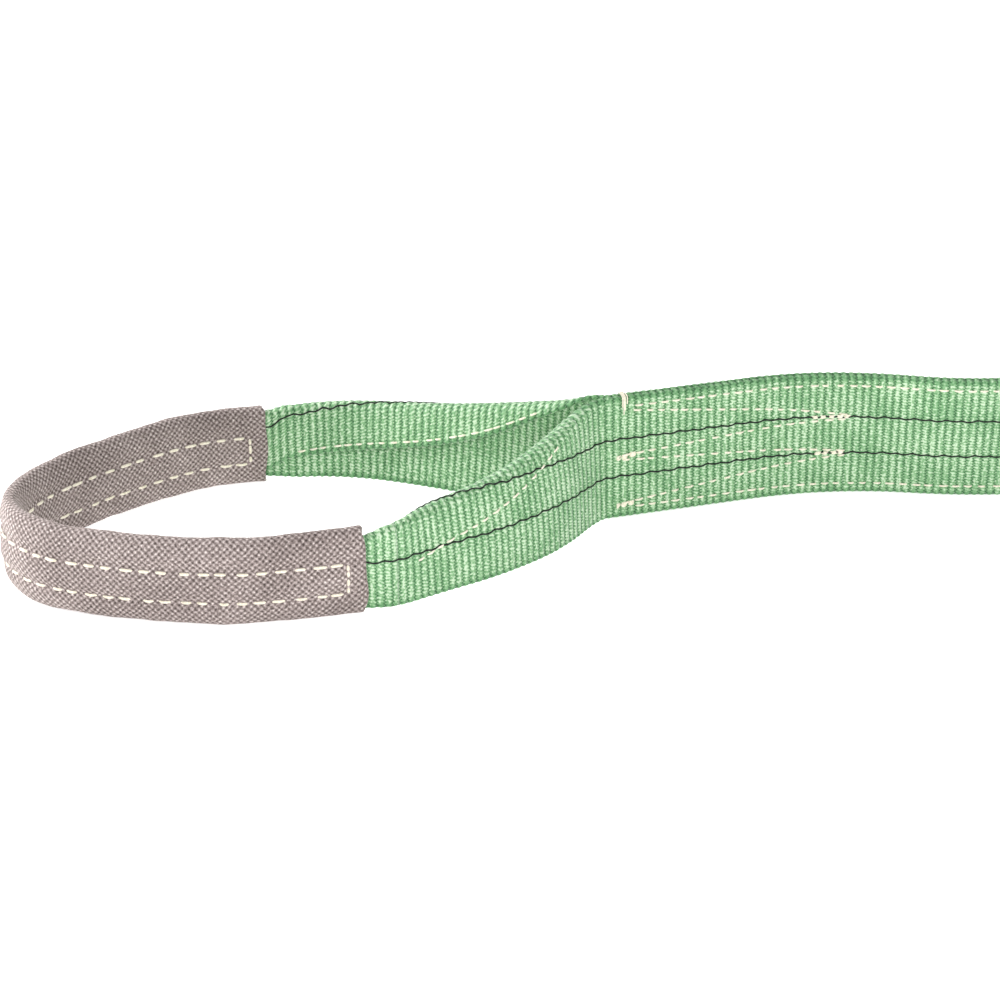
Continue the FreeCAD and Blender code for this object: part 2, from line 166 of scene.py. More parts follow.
eyes = {name: eye_line(name) for name in "ab"}
NEAR_MOUTH, TIP, FAR_MOUTH = 151.0, 333.0, 489.0    # distances round the eye from the crotch
for name, path in eyes.items():
    print("eye", name, [round(path.nearest(HINGES[j + "_" + name]), 1)
                        for j in ("eye_open", "near_mouth_bend", "crown_bend", "far_leg_swing")])


# %% [markdown]
# ## From numbers to a mesh
#
# Numpy works out all the points of a surface at once. A closed ring of points, repeated along the
# path, is a tube of faces, and two caps close its ends. The same maker serves the web, the sleeve,
# the yarns and the threads. Each point also keeps its own place in the cloth, for the material.

# %% Meshes from grids of points
def make_mesh(name, points, faces, cloth=None):
    """A mesh object in metres from points in millimetres, each with its address in the cloth."""
    mesh = bpy.data.meshes.new(name)
    mesh.from_pydata((points.reshape(-1, 3) * MM).tolist(), [], faces)
    if cloth is not None:
        kept = mesh.attributes.new("cloth", "FLOAT_VECTOR", "POINT")
        kept.data.foreach_set("vector", cloth.astype(np.float32).ravel())
    mesh.polygons.foreach_set("use_smooth", np.ones(len(mesh.polygons), bool))
    mesh.update()
    made = bpy.data.objects.new(name, mesh)
    bpy.context.scene.collection.objects.link(made)
    return made


def tube_faces(rings, sides):
    """Quads between the neighbouring points of neighbouring rings, as an array of indices."""
    i = np.arange(rings - 1)[:, None] * sides
    j = np.arange(sides)[None, :]
    k = (j + 1) % sides
    return np.stack([i + j, i + sides + j, i + sides + k, i + k], -1).reshape(-1, 4)


def turned_out(made):
    """Turns the faces round if the closed mesh holds a negative volume, so that they face out."""
    mesh = made.data
    co = np.empty(len(mesh.vertices) * 3)
    mesh.vertices.foreach_get("co", co)
    co = co.reshape(-1, 3)
    mesh.calc_loop_triangles()
    tri = np.empty(len(mesh.loop_triangles) * 3, int)
    mesh.loop_triangles.foreach_get("vertices", tri)
    a, b, c = (co[tri.reshape(-1, 3)[:, i]] for i in range(3))
    if np.einsum("ij,ij->", a, np.cross(b, c)) < 0:
        mesh.flip_normals()
    return made


# %% [markdown]
# ## How the web is folded
#
# The body is flat. In an eye the web's upper edge curls over into the loop from the crotch on, and
# hangs down inside as a flap that is widest at the sleeve. A cut across the web is therefore a line
# that goes straight up, round a half circle, and down again, as long as the web is wide, or a
# little more where a loose single ply spreads. A cloth simulation could fold it, but a formula
# keeps the width true and the fold in its place, and stiff webbing has no small wrinkles.

# %% The cut across the web
WIDTH = 60.0
PLY = 2.7                   # a little under the CAD's 3 mm, which leaves room for the ribs
FLOOR_GAP = 0.2             # the web's lower edge is uneven, so it rests this far up
RIB_PITCH = BODY_LENGTH / 93
RIB_HEIGHT = 0.34


def smooth(x, low, high):
    """0 below low, 1 above high, and 3t^2 - 2t^3 in between."""
    t = np.clip((x - low) / (high - low), 0, 1)
    return t * t * (3 - 2 * t)


# %% The body's lean
LEAN = 0.055                # the web's top leans this share of its height away from the near side


def body_lean(s):
    """The body leans back near both crotches and a little forward in its middle."""
    end = np.minimum(s, BODY_LENGTH - s)
    return LEAN - 0.105 * smooth(end, 70, 165)


def flat_cut(side):
    """A ply of the body stands up and leans. Its inner side faces the far way on the near ply."""
    def cut(s, w):
        lean = body_lean(s)
        return -side * lean * w, w * np.sqrt(1 - lean * lean)
    return cut


# %% The fold of a leg
GIVE = 0.08                 # the loose single ply of a leg spreads by this share of its width


def leg_cut(mouth, crotch, lean, low, sag):
    """A leg's web. Past the fold height F it turns round a half circle of radius R and comes down:
    offset R(1 - cos a) and height F + R sin a, with a the length past F over R. F falls from the
    web's width at the crotch to low at the mouth, less a sag between them, and the leg is gathered
    a little lower where it enters the sleeve."""
    reach = mouth - crotch

    def cut(s, w):
        u = np.maximum((s - crotch) / reach, 0)
        inside = np.minimum(u, 1)
        radius = 1.5 + 1.5 * smooth(inside, 0.02, 0.2) * smooth(1 - inside, 0.0, 0.35)
        top = WIDTH + 2.5 * smooth(1 - inside, 0.85, 1.0) + (low - WIDTH) * inside
        top = top - sag * np.sin(math.pi * inside) ** 1.5 - 2.2 * smooth(inside, 0.93, 1.0)
        w = w * (1 + GIVE * smooth(inside, 0.05, 0.4))
        fold = top - radius
        past = np.clip((w - fold) / radius, 0, math.pi)
        down = np.maximum(w - fold - math.pi * radius, 0)
        up = np.minimum(w, fold)
        offset = radius * (1 - np.cos(past))
        height = up + radius * np.sin(past) - down
        height = height + 1.5 * smooth(u, 0.9, 1.02)
        bulge = 1.6 * np.sin(math.pi * inside) * np.sin(math.pi * np.clip(up / top, 0, 1))
        start = math.copysign(LEAN, lean)
        amount = (start + (lean - start) * smooth(inside, 0.02, 0.4)) * smooth(1 - inside, 0.0, 0.3)
        return offset + amount * height - bulge, height * np.sqrt(1 - amount * amount)

    return cut


NEAR_CUT = leg_cut(NEAR_MOUTH, 0.0, 0.15, 35.5, 3.2)
FAR_CUT = leg_cut(FAR_MOUTH, EYE_LOOP, -0.10, 36.0, 5.0)
NEAR_FLAT, FAR_FLAT = flat_cut(-1), flat_cut(1)
edge_to_edge = np.linspace(0, WIDTH, 200)
print("at the sleeve the folds are", [round(float(cut(mouth, edge_to_edge)[1].max()), 1) for
      cut, mouth in ((NEAR_CUT, NEAR_MOUTH), (FAR_CUT, FAR_MOUTH))], "mm high")


# %% The ribs, and a point on either face
def rib(run):
    """The woven ribs: a cosine along the web."""
    return 0.5 + 0.5 * np.cos(2 * math.pi * run / RIB_PITCH)


def beside(path, s, o, z):
    """The points at offset o from the path, along its inward normal, and at height z."""
    xy, n = path.at(s)
    return np.concatenate([xy + n * o[..., None], z[..., None]], -1)


def place(path, cut, s, w, face, lift):
    """The point at lift from the web's middle surface, on its outer (-1) or inner (1) face. The
    normal is at right angles to the cut's run from 0.05 mm before it to 0.05 mm after."""
    o, z = cut(s, w)
    o0, z0 = cut(s, w - 0.05)
    o1, z1 = cut(s, w + 0.05)
    long = np.hypot(o1 - o0, z1 - z0)
    o = o + (z1 - z0) / long * face * lift
    z = z - (o1 - o0) / long * face * lift
    return beside(path, s, o, z)


# %% A length of web as a closed mesh
def web(name, path, cut, start, end, run_of, step=0.6):
    """Rings across the web: the outer face from edge to edge, then the inner face back. The wall
    thins to nothing at both edges as the root of 1 - x^2, which rounds them."""
    s = np.linspace(start, end, max(int(abs(end - start) / step), 2) + 1)
    inner = np.linspace(2.4, WIDTH - 2.4, 46)
    edge = np.array([0, 0.12, 0.45, 1.0, 1.6])
    w = np.concatenate([edge, inner, WIDTH - edge[::-1]])
    n = len(w)
    around = np.concatenate([np.arange(n), np.arange(n - 2, 0, -1)])
    face = np.where(np.arange(len(around)) < n, -1.0, 1.0)
    S, W = np.meshgrid(s, w[around], indexing="ij")
    F = np.broadcast_to(face, S.shape)
    run = run_of(S)
    ribs = rib(run)
    from_edge = np.minimum(W, WIDTH - W)
    rounding = np.sqrt(np.clip(1 - (1 - np.clip(from_edge / 1.6, 0, 1)) ** 2, 0, 1))
    lift = (PLY / 2 - RIB_HEIGHT + RIB_HEIGHT * ribs) * rounding
    scallop = 0.35 * (ribs - 0.5) * (1 - np.clip(from_edge / 3, 0, 1)) * np.sign(W - WIDTH / 2)
    points = place(path, cut, S, W + scallop, F, lift)
    points[..., 2] += FLOOR_GAP
    sides = len(around)
    quads = tube_faces(len(s), sides)
    j = np.arange(n - 1)
    back = (sides - j) % sides
    cap = np.stack([j, j + 1, (sides - j - 1) % sides, back], -1)
    last = (len(s) - 1) * sides
    caps = [list(dict.fromkeys(q)) for q in cap.tolist()]
    caps += [list(dict.fromkeys(q))[::-1] for q in (cap + last).tolist()]
    cloth = np.stack([run, W, F], -1)
    made = make_mesh(name, points, quads.tolist() + caps, cloth)
    return turned_out(made)


# %% [markdown]
# ## Where the pieces meet
#
# The real web is one piece. Here it is cut wherever two bends would fall on the same mesh, because
# a mesh can bend at one joint only. Each cut lies where both pieces follow the same body, so it
# stays closed, and the rib pattern runs on across it.

# %% The lengths of web
CUT_IN = 25.0               # distance of the body's cuts from each crotch
ROOT_CUT = 24.0
MOUTH_CUT = 136.0
INTO_SLEEVE = 5.0
TIP_GAP = 1.5               # hidden in the sleeve, where the two halves of the crown bend


def run_near(name):
    return (lambda s: -s) if name == "a" else (lambda s: BODY_LENGTH + s)


def run_far(name):
    return (lambda s: s - EYE_LOOP) if name == "a" else (lambda s: BODY_LENGTH - (s - EYE_LOOP))


class Ply:
    """One ply of the body: its line beside the body's line, so that both plies lie face to face."""

    def __init__(self, side):
        self.side = side

    def at(self, s):
        xy, n = body.at(s)
        return xy + n * (HALF_PLY * self.side), -n * self.side


near_ply, far_ply = Ply(-1), Ply(1)
parts = {}
parts["near_ply"] = web("near_ply", near_ply, NEAR_FLAT, CUT_IN, BODY_LENGTH - CUT_IN, lambda s: s)
parts["far_ply"] = web("far_ply", far_ply, FAR_FLAT, CUT_IN, BODY_LENGTH - CUT_IN, lambda s: s)
print("body plies", len(parts["near_ply"].data.polygons), "faces each")


# %% The web of each eye
for name, path in eyes.items():
    near_run, far_run = run_near(name), run_far(name)
    lengths = {
        "near_root_": (NEAR_CUT, -CUT_IN, ROOT_CUT, near_run),
        "near_leg_": (NEAR_CUT, ROOT_CUT, MOUTH_CUT, near_run),
        "near_crown_": (NEAR_CUT, MOUTH_CUT, TIP - TIP_GAP, near_run),
        "far_crown_": (FAR_CUT, TIP + TIP_GAP, FAR_MOUTH - 1, far_run),
        "far_leg_": (FAR_CUT, FAR_MOUTH - INTO_SLEEVE, EYE_LOOP - ROOT_CUT, far_run),
        "far_root_": (FAR_CUT, EYE_LOOP - ROOT_CUT, EYE_LOOP + CUT_IN, far_run),
    }
    for kind, (cut, start, end, run_of) in lengths.items():
        step = 2.0 if "crown" in kind else 0.6
        parts[kind + name] = web(kind + name, path, cut, start, end, run_of, step)
print(len(parts), "lengths of web")

# %% [markdown]
# ## The sleeve
#
# The sleeve is a flat woven tube that is sewn lengthwise in two rows, so it swells between the rows
# and is drawn in at them. Its cut across is a rounded box: the sine and cosine of the angle round
# it, raised to a power below one. At each mouth the cloth turns in, and an inner wall runs back
# through it, so it is a closed tube with a real opening. Cloth under pressure could be simulated,
# but the sewn rows fix the shape, and a formula puts each pucker beside its stitch.

# %% The sleeve's surface
SLEEVE_HALF = 20.15         # half of its height
SLEEVE_WIDE = 5.7           # half of its thickness where it swells
SLEEVE_MIDDLE = 1.5         # it lies round the folded web, which is thicker on the inside
SLEEVE_WALL = 1.2
ROWS = (11.3, 27.0)         # heights of the two sewn rows
STITCH = 8.6                # one stitch and the gap after it
GRAIN = 1.45                # pitch of the sleeve's basket weave


def power(x, p):
    """x to a power below one, with the sign of x."""
    return np.sign(x) * np.abs(x) ** p


def ripple(s, seed):
    """A slow irregular wave: four sines whose lengths don't divide into each other."""
    return (np.sin(s / 7.3 + seed) + np.sin(s / 11.9 + 2 * seed) + np.sin(s / 19.7 + 3 * seed)
            + np.sin(s / 4.7 + 5 * seed)) / 4


def sleeve_cut(s, angle, shrink):
    """Offset and height of the sleeve's skin. Each row draws both faces in by a bell curve, and a
    little more at every stitch, which leaves the small puckers beside the thread."""
    along = np.minimum(s - NEAR_MOUTH, FAR_MOUTH - s)
    sine = np.sin(angle)
    rise = np.where(sine > 0, sine, power(sine, 0.8))
    low = 1.2 * smooth(s, TIP - 40, TIP + 40) * (sine > 0)
    z = SLEEVE_HALF + (SLEEVE_HALF - shrink - low) * rise
    swell = SLEEVE_WIDE + 0.5 * ripple(s + 3 * z, 1.0)
    mouth = smooth(along, -1, 14)
    swell = swell * (0.90 + 0.10 * mouth)
    stitch = 0.5 + 0.5 * np.cos(2 * math.pi * s / STITCH)
    for row in ROWS:
        bell = np.exp(-((z - row) / 2.4) ** 2)
        swell = swell - bell * (0.9 + 0.35 * stitch) * mouth
    cross = np.exp(-((along - 8.0) / 2.2) ** 2) * smooth(z, 8, 12) * (1 - smooth(z, 26, 30))
    swell = swell - 0.7 * cross
    lip = 1 - smooth(along, -0.6, 1.4)
    x = (swell - shrink) * power(np.cos(angle), 0.55 + 0.17 * mouth)
    z = z + (0.5 * ripple(s, 4.0) + 0.25 * ripple(3 * s, 2.0)) * sine
    return SLEEVE_MIDDLE + x * (1 - 0.06 * lip), np.maximum(z, 0.15)


# %% Points on the sleeve
def ragged(angle, seed):
    """How far the sleeve's end stands out at each place round it, as a folded edge does."""
    return 0.7 * np.sin(2 * angle + seed) + 0.4 * np.sin(5 * angle + 2 * seed)


def on_sleeve(path, s, angle, shrink=0.0, lift=0.0):
    """The point of the sleeve's skin, or of a surface shrink inside or lift outside it."""
    o, z = sleeve_cut(s, angle, shrink)
    if np.any(lift):
        a, b = sleeve_cut(s, angle - 0.02, shrink)
        c, d = sleeve_cut(s, angle + 0.02, shrink)
        long = np.hypot(c - a, d - b)
        o, z = o + (d - b) / long * lift, z - (c - a) / long * lift
    return beside(path, s, o, z)


# %% The sleeve as a closed mesh
def sleeve(name, path):
    """Rings round the sleeve, out along the skin and back along the inner wall, closed into one."""
    count, rings = 96, 320
    half = (FAR_MOUTH - NEAR_MOUTH) / 2
    angle = np.linspace(0, 2 * math.pi, count, endpoint=False)
    rim = np.array([0, 0.25, 0.7])
    s_out = np.concatenate([rim, np.linspace(1.4, 2 * half - 1.4, rings), 2 * half - rim[::-1]])
    depth_out = np.concatenate([[0.6, 0.25, 0.05], np.zeros(rings), [0.05, 0.25, 0.6]])
    s_in = s_out[1:-1][::-1]
    depth_in = np.concatenate([[0.95, 1.15], np.full(rings, SLEEVE_WALL), [1.15, 0.95]])
    S, A = np.meshgrid(np.concatenate([s_out, s_in]), angle, indexing="ij")
    D = np.concatenate([depth_out, depth_in])[:, None]
    reach = smooth(-np.abs(S - half), -half, 9 - half)
    S = S + NEAR_MOUTH + (1 - reach) * ragged(A, 1.0) * np.sign(S - half)
    points = on_sleeve(path, S, A, D)
    faces = tube_faces(len(S), count)
    j = np.arange(count)
    k = (j + 1) % count
    close = np.stack([(len(S) - 1) * count + j, j, k, (len(S) - 1) * count + k], -1)
    skin = D <= 0.65
    turn = np.linspace(-math.pi / 2, math.pi / 2, 400)
    o, z = sleeve_cut(np.full(400, 240.0), turn, 0.0)
    arc = travelled(np.column_stack([o, z]))
    girth = np.interp(np.arcsin(np.sin(A)), turn, arc)
    cloth = np.stack([S, girth, np.broadcast_to(np.where(skin, 1.0, -1.0), S.shape)], -1)
    made = make_mesh(name, points, np.vstack([faces, close]).tolist(), cloth)
    return turned_out(made)


for name, path in eyes.items():
    parts["sleeve_" + name] = sleeve("sleeve_" + name, path)
print("sleeve", len(parts["sleeve_a"].data.polygons), "faces")

# %% [markdown]
# ## Threads and tracer yarns
#
# A sewn row is a line of short thick threads with gaps between them. Each stitch here is a small
# tube whose ends dive into the cloth, and all the stitches of a row are one mesh. A tracer yarn is
# one long flat tube that sways a little and dips under every rib, as it does in the weave. The
# material could draw both, but real tubes keep their edges close up and cast small shadows.

# %% Tubes along lines of points
SIDES = 6                   # sides of a thread or a yarn, few because there are hundreds
RANDOM = np.random.default_rng(7)


def tubes(name, centre, width, height, out, cloth=None):
    """Tubes round lines of points. centre is (tubes, points, 3); at each point the ring spans width
    along the side direction and height along the outward one, both at right angles to the line."""
    run = np.gradient(centre, axis=1)
    run /= np.linalg.norm(run, axis=2, keepdims=True)
    out = out - run * (out * run).sum(2, keepdims=True)
    out /= np.linalg.norm(out, axis=2, keepdims=True)
    side = np.cross(run, out)
    angle = np.arange(SIDES) * 2 * math.pi / SIDES
    ring = (side[:, :, None] * (width[..., None] * np.cos(angle))[..., None]
            + out[:, :, None] * (height[..., None] * np.sin(angle))[..., None])
    points = centre[:, :, None] + ring
    count, long = centre.shape[:2]
    each = long * SIDES
    one = tube_faces(long, SIDES)
    first = (np.arange(count) * each)[:, None]
    quads = (one[None] + first[:, None]).reshape(-1, 4).tolist()
    start = (first + np.arange(SIDES)).tolist()
    end = (first + each - SIDES + np.arange(SIDES)[::-1]).tolist()
    if cloth is not None:
        cloth = np.repeat(cloth[:, :, None], SIDES, axis=2)
    return turned_out(make_mesh(name, points, quads + start + end, cloth))


# %% A row of stitches
def row_of(surface, begin, end, pitch, gap):
    """Centre lines and outward directions of a row of stitches. surface(u, v, lift) gives points;
    begin and end are the row's ends in u and v. A stitch rises over the cloth as a half sine."""
    begin, end = np.array(begin, float), np.array(end, float)
    middle = surface(*[np.linspace(a, b, 200) for a, b in zip(begin, end)], 0.0)
    total = travelled(middle)[-1]
    count = max(int(round(total / pitch)), 1)
    t0 = (np.arange(count) + 0.5 * gap / pitch) / count
    dash = (1 - gap / pitch) / count
    uneven = RANDOM.uniform(-0.12, 0.12, (count, 2)) / count
    t = t0[:, None] + uneven[:, :1] + np.linspace(0, 1, 7)[None] * (dash + uneven[:, 1:])
    u, v = (begin[i] + (end[i] - begin[i]) * t for i in (0, 1))
    rise = np.sin(math.pi * np.linspace(0, 1, 7))[None] * np.ones_like(t)
    return surface(u, v, -0.35 + 0.75 * rise), surface(u, v, 1.0) - surface(u, v, 0.0)


def thread(name, rows, thick=0.5):
    """All the stitches of some rows as one mesh."""
    centre = np.concatenate([r[0] for r in rows])
    out = np.concatenate([r[1] for r in rows])
    taper = np.array([0.55, 0.9, 1, 1, 1, 0.9, 0.55])[None] * np.ones(centre.shape[:2])
    return tubes(name, centre, thick * taper, 0.62 * thick * taper, out)


def on_web(path, cut, face):
    """The web's outer surface as a function of the way along it, the way across it and a lift."""
    up = [0, 0, FLOOR_GAP]
    return lambda s, w, lift: place(path, cut, s, w, face, PLY / 2 - 0.1 + lift) + up


# %% The tracer yarns
def yarn(runs):
    """Lines, outward directions and cloth addresses of some yarns. A yarn sways across as two sines
    and dips by a cosine. Each run is (surface, start, end, height across, address along)."""
    lines, outs, addresses = [], [], []
    for surface, start, end, w, run_of in runs:
        n = 2 + int(abs(end - start) / 0.9)
        s = np.linspace(start, end, n)
        run = run_of(s)
        across = w + 0.3 * np.sin(math.pi * run / RIB_PITCH) + 0.2 * np.sin(run / 2.3)
        lift = 0.02 + 0.13 * np.cos(2 * math.pi * run / RIB_PITCH)
        lines.append(surface(s, across, lift))
        outs.append(surface(s, across, 1.0) - surface(s, across, 0.0))
        addresses.append(np.stack([run, across, 0 * run], -1))
    return lines, outs, addresses


def yarn_mesh(name, runs, wide=0.43):
    """Tubes of different lengths, joined into one mesh."""
    made = []
    for line, out, place_in_cloth in zip(*yarn(runs)):
        width = np.full((1, len(line)), wide)
        high = np.full((1, len(line)), 0.3)
        made.append(tubes(name, line[None], width, high, out[None], place_in_cloth[None]))
    first = made[0]
    if len(made) > 1:
        with bpy.context.temp_override(active_object=first, selected_editable_objects=made,
                                       selected_objects=made, object=first):
            bpy.ops.object.join()
    first.name = name
    first.data.name = name
    return first


# %% Two yarns in every length of web
YARNS = (20.8, 39.2)        # the two yarns' places across the web
PLIES = ((near_ply, NEAR_FLAT), (far_ply, FAR_FLAT))
runs = [(on_web(ply, cut, -1), CUT_IN, BODY_LENGTH - CUT_IN, w, lambda s: s)
        for ply, cut in PLIES for w in YARNS]
parts["body_yarns"] = yarn_mesh("body_yarns", runs)

for name, path in eyes.items():
    near_run, far_run = run_near(name), run_far(name)
    lengths = {
        "root_yarns_": ((NEAR_CUT, -CUT_IN, ROOT_CUT, near_run),
                        (FAR_CUT, EYE_LOOP - ROOT_CUT, EYE_LOOP + CUT_IN, far_run)),
        "near_leg_yarns_": ((NEAR_CUT, ROOT_CUT, MOUTH_CUT, near_run),),
        "mouth_yarns_": ((NEAR_CUT, MOUTH_CUT, 160.0, near_run),),
        "far_leg_yarns_": ((FAR_CUT, 485.0, EYE_LOOP - ROOT_CUT, far_run),),
    }
    for kind, spans in lengths.items():
        runs = [(on_web(path, cut, -1), start, end, w, run_of)
                for cut, start, end, run_of in spans for w in YARNS]
        parts[kind + name] = yarn_mesh(kind + name, runs)
print("yarns are in")

# %% The rows of the splice and the body
SPLICE_END = 115.0
# short rows sewn on one spot: start and end along the body, height, and rise
BAR_TACKS = ((-1.5, 9.0, 5.2, 1.2), (-1.5, 9.0, 29.0, 1.6), (97.0, 116.0, 38.8, 0.4),
             (99.0, 114.0, 20.4, 0.3))
SEWN = (6.2, 2.2)           # one stitch with its gap, and the gap
# each splice row's height at the crotch and at its far end
SPLICE_LEVELS = ((53.0, 40.2), (31.0, 38.2), (29.0, 21.8), (7.0, 19.8))


def from_crotch(name, d):
    """Distances from this eye's crotch along the body, as distances from eye a's crotch."""
    return d if name == "a" else BODY_LENGTH - d


def body_rows(name):
    """The zigzag rows of one splice on both faces of the body. They run away from the crotch."""
    rows = []
    for ply, cut in PLIES:
        surface = on_web(ply, cut, -1)
        for left, right in SPLICE_LEVELS:
            begin = 7.0 if left > 50 else 1.5
            ends = [from_crotch(name, d) for d in (begin, SPLICE_END)]
            rows.append(row_of(surface, (ends[0], left), (ends[1], right), *SEWN))
        for start, end, height, drift in BAR_TACKS:
            ends = [from_crotch(name, d) for d in (start, end)]
            for k in range(3 if start < 0 else 2):
                low = height + 0.7 * k
                rows.append(row_of(surface, (ends[0], low), (ends[1], low + drift), 3.6, 0.5))
    return rows


def edge_rows():
    """A row near each edge of the web on both faces, from splice to splice."""
    rows = []
    for ply, cut in PLIES:
        surface = on_web(ply, cut, -1)
        for w in (5.0, WIDTH - 5.0):
            rows.append(row_of(surface, (8.0, w), (BODY_LENGTH - 8.0, w), *SEWN))
    return rows


# %% The whipped tack at a crotch
def tack(name):
    """Thread whipped over both plies' upper edge at the crotch, as loops that spread a little."""
    s = from_crotch(name, np.array([2.6, 3.3, 3.9, 4.9]))
    t = np.linspace(-1, 1, 15)[None] * np.ones((4, 1))
    reach = 3.15                # from the middle of both plies to the thread on either face
    along = s[:, None] + 0 * t
    side = reach * power(np.sin(np.clip(t * 4.2, -math.pi / 2, math.pi / 2)), 0.8)
    share = side[..., None] / reach
    drop = np.array([5.0, 8.5, 6.5, 3.5])[:, None]
    z = WIDTH + 0.6 - np.maximum(np.abs(t) - 0.3, 0) / 0.7 * drop - 0.6 * share[..., 0] ** 4
    leaned = side + body_lean(s[:, None]) * z
    out = np.concatenate([body.at(along)[1] * share ** 3, 1.05 - np.abs(share) ** 3], -1)
    width = np.full(t.shape, 0.3)
    return tubes("whipping_" + name, beside(body, along, leaned, z), width, 0.8 * width, out)


# %% The rows that hold the flaps down
def flap_row(path, cut, start, end):
    """The row that holds the flap down. On the flap it keeps 3 mm from the web's edge, and on the
    standing side it lies at the same height."""
    on_flap = WIDTH - 3.0
    s = np.linspace(start, end, 60)
    heights = place(path, cut, s, np.full(60, on_flap), -1, 0.0)[..., 2]
    surface = on_web(path, cut, -1)

    def flap(u, v, lift):
        return surface(u, on_flap + v, lift)

    def outer(u, v, lift):
        return surface(u, np.interp(u, s, heights) + v, lift)

    return [row_of(side, (start, 0.0), (end, 0.0), *SEWN) for side in (flap, outer)]


# %% Sewing the web
parts["edge_rows"] = thread("edge_rows", edge_rows())
for name, path in eyes.items():
    parts["splice_" + name] = thread("splice_" + name, body_rows(name))
    parts["whipping_" + name] = tack(name)
    for kind, cut, start, end in (("near_flap_row_", NEAR_CUT, 38.0, 128.0),
                                  ("far_flap_row_", FAR_CUT, 503.0, 628.0)):
        parts[kind + name] = thread(kind + name, flap_row(path, cut, start, end))


# %% Sewing the sleeves
def angle_at(height, side):
    """The angle round the sleeve for a height: the arcsine of its share to the power 1/0.8. Above
    the middle, where the skin rises as the plain sine, the row comes out a little lower."""
    share = (height - SLEEVE_HALF) / SLEEVE_HALF
    up = math.asin(math.copysign(abs(share) ** (1 / 0.8), share))
    return up if side > 0 else math.pi - up


def sleeve_rows(path):
    """Two long rows and a cross row at each end, on both faces, 8 mm in from the mouths."""
    rows = []
    start, end = NEAR_MOUTH + 8.0, FAR_MOUTH - 8.0

    def surface(s, a, lift):
        return on_sleeve(path, s, a, 0.0, lift)

    for side in (-1, 1):
        low, high = (angle_at(z, side) for z in ROWS)
        for a in (low, high):
            rows.append(row_of(surface, (start, a), (end, a), STITCH, 2.9))
        for s in (start, end):
            rows.append(row_of(surface, (s, low), (s, high), 4.0, 0.9))
    return rows


for name, path in eyes.items():
    parts["sleeve_rows_" + name] = thread("sleeve_rows_" + name, sleeve_rows(path), 0.7)
print("rows are in;", len(parts), "pieces")

# %% [markdown]
# ## The label
#
# A sling carries a sewn-in label. It is a small piece of woven tape: a narrow tab is caught in the
# seam and the rest hangs free, so it curls a little away from the web. It is left blank. A plane
# with Solidify could make it, but rings of points follow the web's line as they are.

# %% The label's tab and its free flap
LABEL_LOW, LABEL_HIGH = 6.0, 54.0
TAB_START, TAB_END, FLAP_START, FLAP_END = 118.0, 124.0, 124.3, 164.3
TAPE = 0.5


def panel(name, start, end, offset_of):
    """A thin sheet on the body's far side: rings of its outer and inner face, TAPE apart."""
    s = np.linspace(start, end, int((end - start) / 0.6) + 2)
    n_up = 60
    z = np.linspace(LABEL_LOW, LABEL_HIGH, n_up)
    around = np.concatenate([z, z[::-1]])
    face = np.repeat([TAPE / 2, -TAPE / 2], n_up)
    S, Z = np.meshgrid(s, around, indexing="ij")
    points = beside(body, S, offset_of(S, Z) + face[None] + body_lean(S) * Z, Z)
    sides = 2 * n_up
    j = np.arange(n_up - 1)
    cap = np.stack([j, j + 1, sides - 2 - j, sides - 1 - j], -1)
    last = (len(s) - 1) * sides
    faces = np.vstack([tube_faces(len(s), sides), cap, (cap + last)[:, ::-1]])
    cloth = np.stack([S, Z, np.broadcast_to(np.sign(face), S.shape)], -1)
    return turned_out(make_mesh(name, points, faces.tolist(), cloth))


def tab_offset(s, z):
    """The tab lies on the web and puckers a little between its stitches."""
    return 3.9 + 0.12 * np.cos(2 * math.pi * (z - LABEL_LOW) / 4.0)


def flap_offset(s, z):
    """The flap leaves the web slowly, as the square of the way along it, and cups a little."""
    t = (s - FLAP_START) / (FLAP_END - FLAP_START)
    return 4.25 + 2.6 * t ** 2 + 0.9 * t * np.sin(math.pi * (z - LABEL_LOW) / 48.0)


parts["sewn_tab"] = panel("sewn_tab", TAB_START, TAB_END, tab_offset)
parts["free_label"] = panel("free_label", FLAP_START, FLAP_END, flap_offset)


# %% The tab's row of stitches
def on_tab(s, z, lift):
    """The tab's outer face, for its own row of stitches."""
    off = tab_offset(s, z) + TAPE / 2 + lift + body_lean(s) * z
    return beside(body, s + 0 * z, off, z + 0 * s)


parts["tab_row"] = thread("tab_row", [row_of(on_tab, (121.0, 8.0), (121.0, 52.0), 4.0, 1.2)], 0.5)

# %% [markdown]
# ## Materials
#
# The web is polyester: smooth bright filaments woven tight into ribs across the web. Each rib is a
# column of short slanted floats. The dark dashes between the ribs are painted shade in the grooves,
# and the pale crests of the floats are a painted highlight. The sleeve is a coarse grey basket
# weave of textured yarn, dull and grainy. The threads are twisted and cream, the tracer yarns
# black. Light slips over polyester, so it has a low sheen and no sharp gloss. Wave textures could
# draw the ribs, but cosines of the cloth's own address stay true round every bend.

# %% Colours and nodes
def linear(code):
    """sRGB hex to linear: c/12.92 below 0.04045, and ((c + 0.055)/1.055)^2.4 above."""
    c = np.array([int(code[i:i + 2], 16) for i in (1, 3, 5)]) / 255
    return (*np.where(c <= 0.04045, c / 12.92, ((c + 0.055) / 1.055) ** 2.4), 1.0)


def add(tree, kind, inputs=None, out=0, **settings):
    """Adds a node with its settings, gives each input its value or link, and returns an output."""
    made = tree.nodes.new(kind)
    for key, value in settings.items():
        setattr(made, key, value)
    for key, value in (inputs or {}).items():
        if isinstance(value, bpy.types.NodeSocket):
            tree.links.new(value, made.inputs[key])
        else:
            made.inputs[key].default_value = value
    return made.outputs[out] if len(made.outputs) else made


